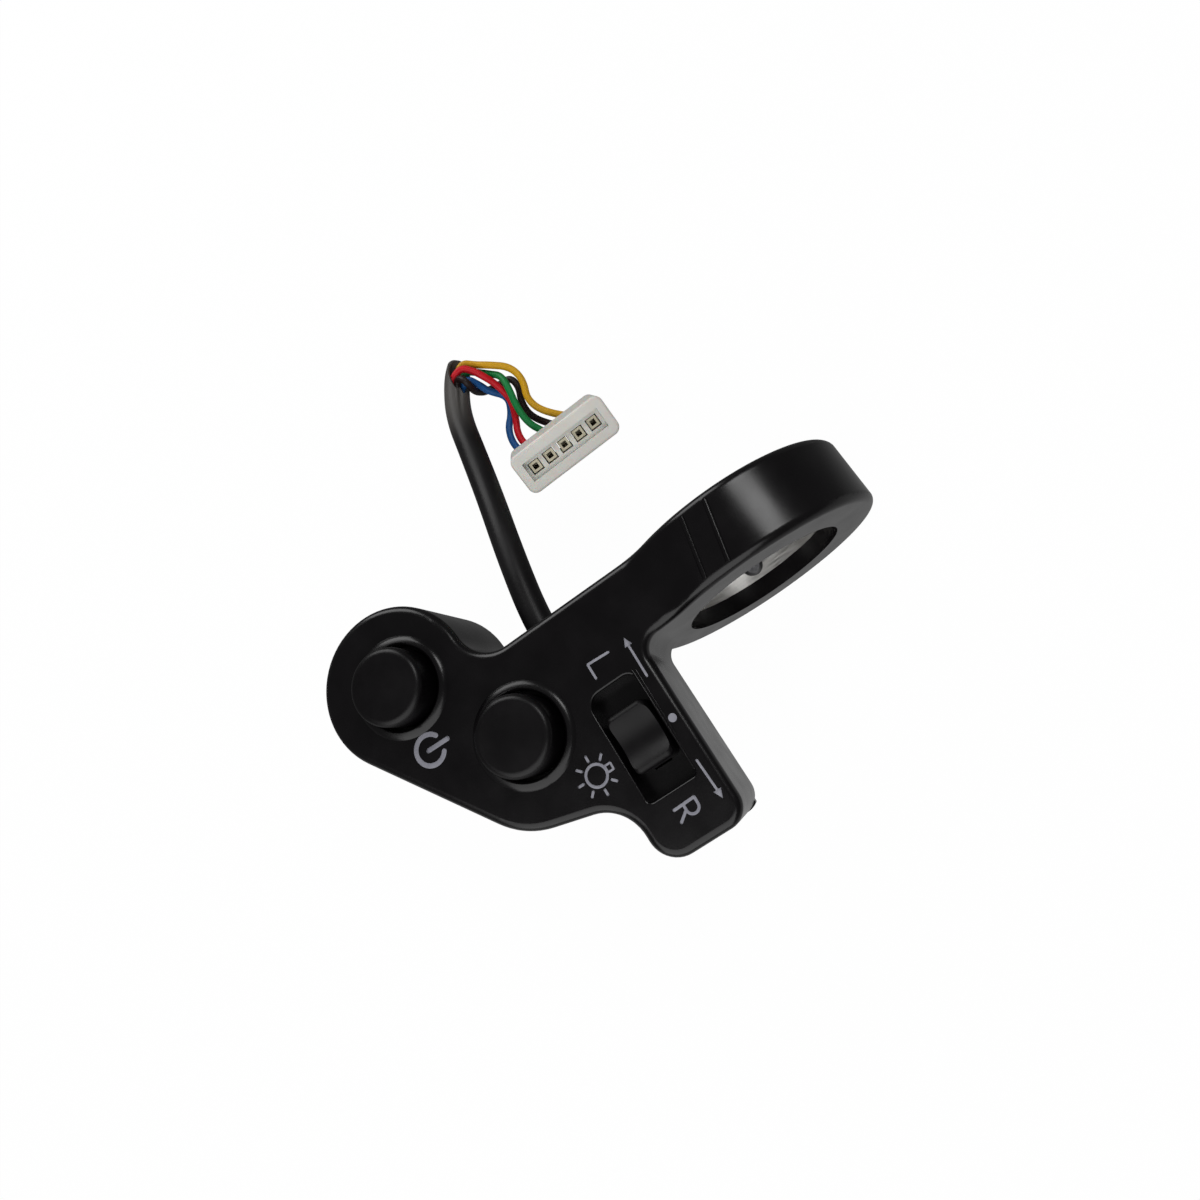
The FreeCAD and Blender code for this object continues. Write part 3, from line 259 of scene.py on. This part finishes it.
NODE_FINISH = {
    "housing": shell_black,
    "back_cover": shell_black,
    "clamp_sleeve": sleeve_steel,
    "cover_screws": screw_zinc,
    "board_screws": screw_zinc,
    "clamp_screw": screw_zinc,
    "power_button": cap_black,
    "light_button": cap_black,
    "slider_knob": knob_black,
    "circuit_board": board_green,
    "slide_switch_can": can_tin,
    "slide_switch_base": switch_moulding,
    "slide_switch_lever": stem_ivory,
    "slide_switch_pins": contact_brass,
    "slide_switch_wiper": contact_brass,
    "cable_grommet": grommet_black,
    "cable_tie": tie_nylon,
    "inner_leads": lead_grey,
    "plug_housing": plug_nylon,
    "plug_contacts": contact_brass,
    "cable_sheath": sheath_black,
}
for side in BUTTONS:
    NODE_FINISH[side + "_switch_case"] = switch_moulding
    NODE_FINISH[side + "_switch_base"] = switch_moulding
    NODE_FINISH[side + "_switch_plunger"] = stem_ivory
    NODE_FINISH[side + "_switch_pins"] = contact_brass
    NODE_FINISH[side + "_switch_bridge"] = contact_brass
    NODE_FINISH[side + "_switch_spring"] = spring_steel
for colour in WIRE_COLOURS:
    NODE_FINISH["wire_" + colour] = wire_finish[colour]
for name, material in NODE_FINISH.items():
    nodes[name].data.materials.clear()
    nodes[name].data.materials.append(material)


# Shared ways of making pieces


def new_object(name, data):
    """An object round its data, put into the scene."""
    item = bpy.data.objects.new(name, data)
    bpy.context.scene.collection.objects.link(item)
    return item


def new_mesh(name, work):
    """A mesh from worked mesh data, which is let go."""
    mesh = bpy.data.meshes.new(name)
    work.to_mesh(mesh)
    work.free()
    return mesh


def settle(name, work, material):
    """Turn worked mesh data into a finished piece that rides on the shell."""
    mesh = new_mesh(name, work)
    mesh.shade_smooth()
    mesh.materials.append(material)
    item = new_object(name, mesh)
    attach(item, SHELL)
    return item


def edges_of(verts):
    """The edges that meet some vertices, each once."""
    return list({edge for vert in verts for edge in vert.link_edges})


def swept_tube(work, points, radius, segments):
    """An open tube through points, ring by ring; returns each ring's place and vertices."""
    way = (points[1] - points[0]).normalized()
    place = Matrix.Translation(points[0]) @ way.to_track_quat("Z", "Y").to_matrix().to_4x4()
    verts = bmesh.ops.create_circle(work, segments=segments, radius=radius, matrix=place)["verts"]
    edges = edges_of(verts)
    rings = [(place, verts)]
    beyond = points[2:] + [2 * points[-1] - points[-2]]
    for here, there, after in zip(points, points[1:], beyond):
        ahead = ((there - here).normalized() + (after - there).normalized()).normalized()
        turn = way.rotation_difference(ahead).to_matrix().to_4x4()
        move = Matrix.Translation(there) @ turn @ Matrix.Translation(-here)
        made = bmesh.ops.extrude_edge_only(work, edges=edges)["geom"]
        verts = [item for item in made if isinstance(item, bmesh.types.BMVert)]
        edges = [item for item in made if isinstance(item, bmesh.types.BMEdge)
                 and all(vert in verts for vert in item.verts)]
        bmesh.ops.transform(work, matrix=move, verts=verts)
        place, way = move @ place, ahead
        rings.append((place, verts))
    return rings


# Printed symbols on the panel

PANEL_LEVEL = 12.5
INK_HEIGHT = 0.03
ARC_STEP = 5
NEARLY_FULL_TURN = 359.9
ARROW_LEVELS = (-1, 0.8)


def ink_dot(work, x, y, width, height=INK_HEIGHT):
    """A flat domed dot of ink; returns its vertices."""
    half = width * MM / 2
    size = Matrix.Diagonal((half, half, height * MM, 1))
    place = Matrix.Translation(mm(x, y, PANEL_LEVEL)) @ size
    return bmesh.ops.create_uvsphere(work, u_segments=20, v_segments=8, radius=1.0,
                                     matrix=place)["verts"]


def ink_line(work, start, end, width, height=INK_HEIGHT):
    """A round-ended stroke of ink between two points."""
    both = ink_dot(work, *start, width, height) + ink_dot(work, *end, width, height)
    hull = bmesh.ops.convex_hull(work, input=both)
    inside = [item for item in hull["geom_interior"] + hull["geom_unused"]
              if isinstance(item, bmesh.types.BMVert)]
    bmesh.ops.delete(work, geom=list(set(inside)), context="VERTS")


def linked_verts(verts):
    """The vertices of everything that hangs together with some vertices."""
    found = set(verts)
    front = list(verts)
    while front:
        vert = front.pop()
        for edge in vert.link_edges:
            other = edge.other_vert(vert)
            if other not in found:
                found.add(other)
                front.append(other)
    return list(found)


def ink_arc(work, centre, radius, width, first, last):
    """A curved stroke of ink; angles are in degrees, anticlockwise from +X."""
    size = Matrix.Diagonal((width * MM / 2, 1, INK_HEIGHT * MM, 1))
    shape = Matrix.Translation((radius * MM, 0, 0)) @ size @ Matrix.Rotation(math.pi / 2, 4, "X")
    ring = bmesh.ops.create_circle(work, segments=12, radius=1.0, matrix=shape)["verts"]
    bmesh.ops.transform(work, matrix=Matrix.Rotation(math.radians(first), 4, "Z"), verts=ring)
    sweep = abs(last - first)
    closed = sweep >= NEARLY_FULL_TURN
    bmesh.ops.spin(work, geom=ring + edges_of(ring), cent=(0, 0, 0), axis=(0, 0, 1),
                   steps=max(8, round(sweep / ARC_STEP)), angle=math.radians(last - first),
                   use_merge=closed)
    bmesh.ops.translate(work, verts=linked_verts(ring), vec=mm(*centre, PANEL_LEVEL))
    if not closed:
        for angle in (math.radians(first), math.radians(last)):
            ink_dot(work, centre[0] + radius * math.cos(angle),
                    centre[1] + radius * math.sin(angle), width)


def ink_arrow(work, tail, tip, width, head_length, head_width):
    """A straight arrow of ink."""
    tail, tip = Vector(tail), Vector(tip)
    way = (tip - tail).normalized()
    across = Vector((-way.y, way.x)) * head_width / 2
    neck = tip - way * head_length
    ink_line(work, tail, neck, width)
    points = [work.verts.new(mm(corner.x, corner.y, PANEL_LEVEL + INK_HEIGHT * level))
              for corner in (tip, neck + across, neck - across) for level in ARROW_LEVELS]
    bmesh.ops.convex_hull(work, input=points)


def power_symbol():
    """An open ring with a bar through its gap."""
    work = bmesh.new()
    ink_arc(work, (0.95, -45.7), radius=1.95, width=0.66, first=126, last=414)
    ink_line(work, (0.92, -45.95), (1.0, -42.95), width=0.62)
    settle("power_symbol", work, symbol_ink)


def lamp_symbol():
    """A bulb with seven rays, and its foot where the eighth would be."""
    work = bmesh.new()
    centre = Vector((14.9, -28.9))
    ink_arc(work, centre, radius=1.32, width=0.36, first=0, last=360)
    for step in range(1, 8):
        angle = math.radians(90 + 45 * step)
        way = Vector((math.cos(angle), math.sin(angle)))
        ink_line(work, centre + way * 1.88, centre + way * 2.52, width=0.34)
    foot = [centre + Vector(corner)
            for corner in ((-0.42, 1.42), (0.42, 1.42), (0.42, 2.2), (-0.42, 2.2))]
    for here, there in zip(foot, foot[1:] + foot[:1]):
        ink_line(work, here, there, width=0.26)
    settle("lamp_symbol", work, symbol_ink)


def left_letter():
    """The L at the slider's left end."""
    work = bmesh.new()
    corner, width = (3.4, -22.85), 0.32
    ink_line(work, corner, (3.55, -19.9), width)
    ink_line(work, corner, (5.35, -22.85), width)
    settle("left_letter", work, symbol_ink)


def right_letter():
    """The R at the slider's right end."""
    work = bmesh.new()
    top, width = (22.8, -20.4), 0.36
    ink_line(work, (22.9, -23.2), top, width)
    ink_line(work, top, (23.6, -20.4), width)
    ink_line(work, (22.85, -21.95), (23.6, -21.95), width)
    ink_arc(work, (23.6, -21.18), radius=0.78, width=width, first=-90, last=90)
    ink_line(work, (23.55, -21.95), (24.45, -23.2), width)
    settle("right_letter", work, symbol_ink)


def turn_arrows():
    """The two arrows beyond the slider and the dot between them."""
    work = bmesh.new()
    for tail, tip in (((8.5, -17.5), (3.2, -17.4)), ((19.6, -17.9), (24.6, -17.7))):
        ink_arrow(work, tail, tip, width=0.3, head_length=1.1, head_width=1.0)
    ink_dot(work, 14.15, -17.62, width=1.05)
    settle("turn_arrows", work, symbol_ink)


power_symbol()
lamp_symbol()
left_letter()
right_letter()
turn_arrows()


# Beads along the far edge of the slider's pocket

BEAD_HEIGHT = 0.1
BEADS = (((7.0, -18.66), (20.2, -18.6), 0.28), ((7.2, -18.24), (15.8, -18.32), 0.22))


def pocket_beads():
    """Two slender beads, which catch the light."""
    work = bmesh.new()
    for start, end, width in BEADS:
        ink_line(work, start, end, width, BEAD_HEIGHT)
    settle("pocket_beads", work, shell_black)


pocket_beads()


# Return springs under the buttons

COIL_RADIUS, COIL_WIRE, COIL_TURNS = 1.4, 0.1, 3
COIL_STEPS, COIL_SIDES = 24, 12


def return_spring(side):
    """The coil under a button, as long as the spring's solid."""
    node = side + "_switch_spring"
    low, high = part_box(node)
    middle = (low + high) / 2
    climb = (high.z - low.z) - 2 * COIL_WIRE * MM
    steps = COIL_STEPS * COIL_TURNS
    points = []
    for number in range(steps + 1):
        angle = math.tau * COIL_TURNS * number / steps
        points.append(Vector((middle.x + COIL_RADIUS * MM * math.cos(angle),
                              middle.y + COIL_RADIUS * MM * math.sin(angle),
                              low.z + COIL_WIRE * MM + climb * number / steps)))
    work = bmesh.new()
    rings = swept_tube(work, points, COIL_WIRE * MM, COIL_SIDES)
    for _, verts in (rings[0], rings[-1]):
        bmesh.ops.contextual_create(work, geom=verts)
    bmesh.ops.recalc_face_normals(work, faces=work.faces[:])
    piece = settle(side + "_return_spring", work, spring_steel)
    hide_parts(node)
    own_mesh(piece)


for side in BUTTONS:
    return_spring(side)


# Lead: the sheath and the five wires, on the routes of their solids

SHEATH_ROUTE = [
    (-5.5, -27.3, 4.5), (-8.2, -27.3, 4.5), (-17.5, -26.1, 3.3), (-27.1, -24.9, 0.8),
    (-36.0, -24.0, -1.4), (-43.0, -23.2, -2.6), (-47.82, -20.95, -2.89),
    (-50.08, -18.74, -2.75), (-51.22, -16.69, -2.61),
]
SHEATH_RADIUS, SHEATH_WALL, SHEATH_SIDES = 2.0, 0.45, 72
MOUTH_POINT = (-48.81, -19.59, -2.69)
MOUTH_FACING = (0.005, 0.834, 0.551)
MOUTH_REACH = 9
# The crease: the share of the route where it begins and the share in which it grows,
# the point it looks towards and its turn from there, then its depth and its breadth
# round the sheath, and the flattening that goes with it
CREASE_BEGINS, CREASE_GROWS = 0.6, 0.15
CREASE_LOOKS_AT, CREASE_TURN = (23, -2, 104), 0.25
CREASE_DEPTH, CREASE_BREADTH, CREASE_FLATTENS = 0.2, 0.13, 0.03
WIRE_RADIUS = 0.55
WIRE_ROUTES = {
    "yellow": [
        (-43.88, -23.54, -3.11), (-45.74, -22.85, -3.22), (-47.28, -22.08, -3.27),
        (-48.53, -21.25, -3.32), (-49.60, -20.06, -3.44), (-50.65, -18.36, -3.29),
        (-49.29, -16.90, -3.73), (-47.86, -15.15, -3.78), (-45.56, -12.49, -4.21),
        (-42.79, -12.00, -5.05), (-39.96, -13.29, -5.49), (-37.10, -12.18, -6.75),
        (-32.38, -7.52, -7.22), (-30.43, -7.19, -4.09),
    ],
    "red": [
        (-43.97, -23.43, -1.98), (-45.74, -22.71, -2.09), (-47.25, -21.95, -2.15),
        (-48.46, -21.16, -2.18), (-48.91, -20.12, -2.13), (-49.12, -18.62, -1.96),
        (-47.83, -17.43, -2.54), (-46.67, -16.74, -3.20), (-45.12, -15.89, -4.73),
        (-42.32, -15.35, -6.38), (-39.47, -16.48, -7.07), (-37.32, -17.64, -7.29),
        (-34.72, -17.53, -7.42), (-32.01, -14.99, -6.62), (-30.08, -14.66, -3.55),
    ],
    "green": [
        (-43.52, -22.54, -3.53), (-45.28, -21.92, -3.69), (-46.76, -21.20, -3.77),
        (-47.68, -20.63, -3.74), (-48.75, -19.36, -3.53), (-48.97, -18.42, -3.43),
        (-48.55, -17.63, -4.03), (-47.98, -16.72, -4.64), (-47.11, -15.80, -4.89),
        (-45.53, -14.46, -4.61), (-42.85, -14.48, -4.20), (-39.81, -15.18, -5.12),
        (-36.96, -15.13, -6.14), (-35.04, -14.04, -7.37), (-31.93, -12.46, -6.51),
        (-30.20, -12.17, -3.73),
    ],
    "blue": [
        (-43.38, -21.83, -2.66), (-45.00, -21.21, -2.85), (-46.08, -20.68, -2.90),
        (-46.91, -20.05, -3.05), (-47.30, -19.29, -2.62), (-47.00, -18.62, -2.64),
        (-46.59, -18.30, -3.46), (-46.24, -17.96, -4.60), (-45.34, -17.55, -5.76),
        (-43.53, -15.62, -7.19), (-41.15, -16.70, -7.82), (-38.98, -18.59, -7.50),
        (-35.72, -19.15, -7.48), (-31.92, -17.48, -6.48), (-29.97, -17.15, -3.36),
    ],
    "black": [
        (-43.66, -22.38, -1.70), (-45.29, -21.69, -1.86), (-46.03, -21.32, -1.93),
        (-46.99, -20.86, -2.24), (-47.82, -20.15, -1.94), (-47.25, -19.39, -1.24),
        (-46.14, -19.01, -1.02), (-45.54, -19.04, -2.08), (-45.84, -19.13, -4.05),
        (-46.39, -18.94, -5.91), (-46.73, -18.39, -7.36), (-46.89, -17.39, -8.03),
        (-46.67, -15.98, -8.19), (-46.25, -13.73, -7.78), (-43.93, -13.45, -7.81),
        (-41.83, -14.50, -8.04), (-38.96, -14.53, -8.42), (-36.00, -12.66, -8.72),
        (-32.27, -10.01, -7.04), (-30.31, -9.68, -3.91),
    ],
}


def smooth_line(name, route, radius):
    """A round flexible line on a route."""
    data = bpy.data.curves.new(name, "CURVE")
    data.dimensions = "3D"
    data.bevel_depth = radius * MM
    data.bevel_resolution = 6
    data.resolution_u = 12
    data.use_fill_caps = True
    line = data.splines.new("NURBS")
    line.points.add(len(route) - 1)
    for point, place in zip(line.points, route):
        point.co = (*mm(*place), 1)
    line.order_u = 3
    line.use_endpoint_u = True
    return new_object(name, data)


def line_points(route):
    """The points that a smooth line on a route runs through, in metres."""
    guide = smooth_line("guide", route, 0.0)
    mesh = bpy.data.meshes.new_from_object(guide)
    points = [vert.co.copy() for vert in mesh.vertices]
    bpy.data.objects.remove(guide)
    bpy.data.meshes.remove(mesh)
    return points


def crease(rings):
    """Press a groove into the last stretch of a tube and flatten it a little."""
    towards = mm(*CREASE_LOOKS_AT) - mm(*MOUTH_POINT)
    for number, (place, verts) in enumerate(rings):
        along = number / (len(rings) - 1)
        share = min(1.0, max(0.0, along - CREASE_BEGINS) / CREASE_GROWS)
        facing = (place.to_3x3().inverted() @ towards).xy
        middle = math.atan2(facing.y, facing.x) + CREASE_TURN
        for vert in verts:
            spot = place.inverted() @ vert.co
            apart = math.remainder(math.atan2(spot.y, spot.x) - middle, math.tau)
            groove = CREASE_DEPTH * share * math.exp(-((apart / CREASE_BREADTH) ** 2))
            spot.xy *= 1 - (groove - CREASE_FLATTENS * share * math.cos(2 * apart))
            vert.co = place @ spot


def lead_sheath():
    """The black sheath: creased along its last stretch and cut slanting at its mouth."""
    points = line_points(SHEATH_ROUTE)
    work = bmesh.new()
    crease(swept_tube(work, points, SHEATH_RADIUS * MM, SHEATH_SIDES))
    mouth = mm(*MOUTH_POINT)
    tip = [vert for vert in work.verts if (vert.co - mouth).length < MOUTH_REACH * MM]
    skin = list({face for vert in tip for face in vert.link_faces})
    bmesh.ops.bisect_plane(work, geom=tip + edges_of(tip) + skin, plane_co=mouth,
                           plane_no=Vector(MOUTH_FACING), clear_outer=True)
    bmesh.ops.recalc_face_normals(work, faces=work.faces[:])
    piece = settle("lead_sheath", work, sheath_black)
    wall = piece.modifiers.new("wall", "SOLIDIFY")
    wall.thickness = SHEATH_WALL * MM
    wall.offset = -1
    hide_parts("cable_sheath")
    last = min(range(len(points)), key=lambda number: (points[number] - mouth).length)
    return piece, points[:last + 1]


def lead():
    """The sheath with its wires, which end in the plug."""
    sheath, points = lead_sheath()
    for colour, route in WIRE_ROUTES.items():
        wire = smooth_line("lead_wire_" + colour, route, WIRE_RADIUS)
        wire.data.materials.append(wire_finish[colour])
        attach(wire, SHELL)
        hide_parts("wire_" + colour)


lead()


# Floor and backdrop

FLOOR_LEVEL, FLOOR_REACH = -17.2, 1.5
FLOOR_SEEN_GLOW = 0.98
# Painted shade in the floor as mirrored: how light it looks in a mirror, darker towards -X as if
# shaded by the switch and lighter towards +X, from one side of the switch to the other
MIRRORED_FLOOR_PAINTED_SHADE = (0.14, 0.44)
MIRRORED_SHADE_ALONG_X = (-20, 20)
WORLD_LIGHT, WORLD_MIRRORED_MORE = 0.1, 0.04


def mirror_rays(owner):
    """The ray kinds of a material or world, and a node that is 1 for mirrored rays."""
    rays = add_node(owner, "ShaderNodeLightPath")
    mirrored = add_node(owner, "ShaderNodeMath", operation="MAXIMUM")
    join_sockets(owner, (rays.outputs["Is Glossy Ray"], mirrored.inputs[0]),
                 (rays.outputs["Is Transmission Ray"], mirrored.inputs[1]))
    return rays, mirrored


def pale_floor():
    """A plain white floor that takes a soft shadow and shows pale grey in polished faces, with
    painted shade there: darker towards -X, lighter towards +X.
    """
    work = bmesh.new()
    bmesh.ops.create_grid(work, x_segments=1, y_segments=1, size=FLOOR_REACH,
                          matrix=Matrix.Translation(mm(0, 0, FLOOR_LEVEL)))
    mesh = new_mesh("floor", work)
    material, surface = start_material("floor_white", (0.85, 0.85, 0.85), 0.9)
    rays, mirrored = mirror_rays(material)
    seen = add_node(material, "ShaderNodeMath", {1: FLOOR_SEEN_GLOW}, operation="MULTIPLY")
    share = add_node(material, "ShaderNodeMath", operation="MAXIMUM")
    place = add_node(material, "ShaderNodeTexCoord")
    across = add_node(material, "ShaderNodeSeparateXYZ")
    # Painted shade: the floor's glow in mirrors grows along X
    tone = add_node(material, "ShaderNodeMapRange",
                    {"From Min": MIRRORED_SHADE_ALONG_X[0] * MM, "From Max": MIRRORED_SHADE_ALONG_X[1] * MM,
                     "To Min": MIRRORED_FLOOR_PAINTED_SHADE[0], "To Max": MIRRORED_FLOOR_PAINTED_SHADE[1]})
    level = add_node(material, "ShaderNodeMix", {"A": 1.0}, data_type="FLOAT")
    glow = add_node(material, "ShaderNodeEmission")
    blend = add_node(material, "ShaderNodeMixShader")
    output = material.node_tree.nodes["Material Output"]
    join_sockets(material, (rays.outputs["Is Camera Ray"], seen.inputs[0]),
                 (seen.outputs["Value"], share.inputs[0]),
                 (mirrored.outputs["Value"], share.inputs[1]),
                 (place.outputs["Object"], across.inputs["Vector"]),
                 (across.outputs["X"], tone.inputs["Value"]),
                 (mirrored.outputs["Value"], level.inputs["Factor"]),
                 (tone.outputs["Result"], level.inputs["B"]),
                 (level.outputs["Result"], glow.inputs["Strength"]),
                 (share.outputs["Value"], blend.inputs["Fac"]),
                 (surface.outputs["BSDF"], blend.inputs[1]),
                 (glow.outputs["Emission"], blend.inputs[2]),
                 (blend.outputs["Shader"], output.inputs["Surface"]))
    mesh.materials.append(material)
    new_object("floor", mesh)


def soft_world():
    """A white backdrop that lights the switch only dimly."""
    world = bpy.data.worlds.new("studio")
    world.use_nodes = True
    sky = world.node_tree.nodes["Background"]
    sky.inputs["Color"].default_value = (1, 1, 1, 1)
    rays, mirrored = mirror_rays(world)
    level = add_node(world, "ShaderNodeMath", {1: WORLD_MIRRORED_MORE, 2: WORLD_LIGHT},
                     operation="MULTIPLY_ADD")
    seen = add_node(world, "ShaderNodeMath", operation="MAXIMUM")
    join_sockets(world, (mirrored.outputs["Value"], level.inputs[0]),
                 (level.outputs["Value"], seen.inputs[0]),
                 (rays.outputs["Is Camera Ray"], seen.inputs[1]),
                 (seen.outputs["Value"], sky.inputs["Strength"]))
    bpy.context.scene.world = world


pale_floor()
soft_world()


# Lamps: the way to each, its distance and size in metres, and its power

LAMPS = {
    "key_lamp": ((-0.25, 0.52, 0.82), 0.5, 0.16, 0.62),
    "side_lamp": ((-0.9, -0.1, 0.5), 0.5, 0.3, 1.1),
    "fill_lamp": ((0.9, -0.5, 0.9), 0.7, 0.9, 5.0),
}
LIT_POINT = (-5, -20, 0)


def lamp(name, direction, distance, size, power):
    """A square soft lamp that faces the switch from a direction."""
    data = bpy.data.lights.new(name, "AREA")
    data.size = size
    data.energy = power
    item = new_object(name, data)
    way = Vector(direction).normalized()
    item.location = mm(*LIT_POINT) + way * distance
    item.rotation_mode = "QUATERNION"
    item.rotation_quaternion = way.to_track_quat("Z", "Y")


for name, settings in LAMPS.items():
    lamp(name, *settings)


# Camera: its place, the way to its right and the way it looks away from

CAMERA_PLACE = (23.17, -1.74, 103.8)
CAMERA_RIGHT = (0.5188, 0.8068, -0.2827)
CAMERA_BACK = (0.2649, 0.1627, 0.9505)


def photo_camera():
    """The camera at the photograph's place and angle."""
    data = bpy.data.cameras.new("camera")
    data.lens = 24.0
    data.sensor_width = 36.0
    data.clip_start = 0.005
    item = new_object("camera", data)
    back = Vector(CAMERA_BACK).normalized()
    up = back.cross(Vector(CAMERA_RIGHT)).normalized()
    turn = Matrix((up.cross(back), up, back)).transposed().to_4x4()
    item.matrix_world = Matrix.Translation(mm(*CAMERA_PLACE)) @ turn
    bpy.context.scene.camera = item


photo_camera()
bpy.context.scene.view_settings.view_transform = "Standard"
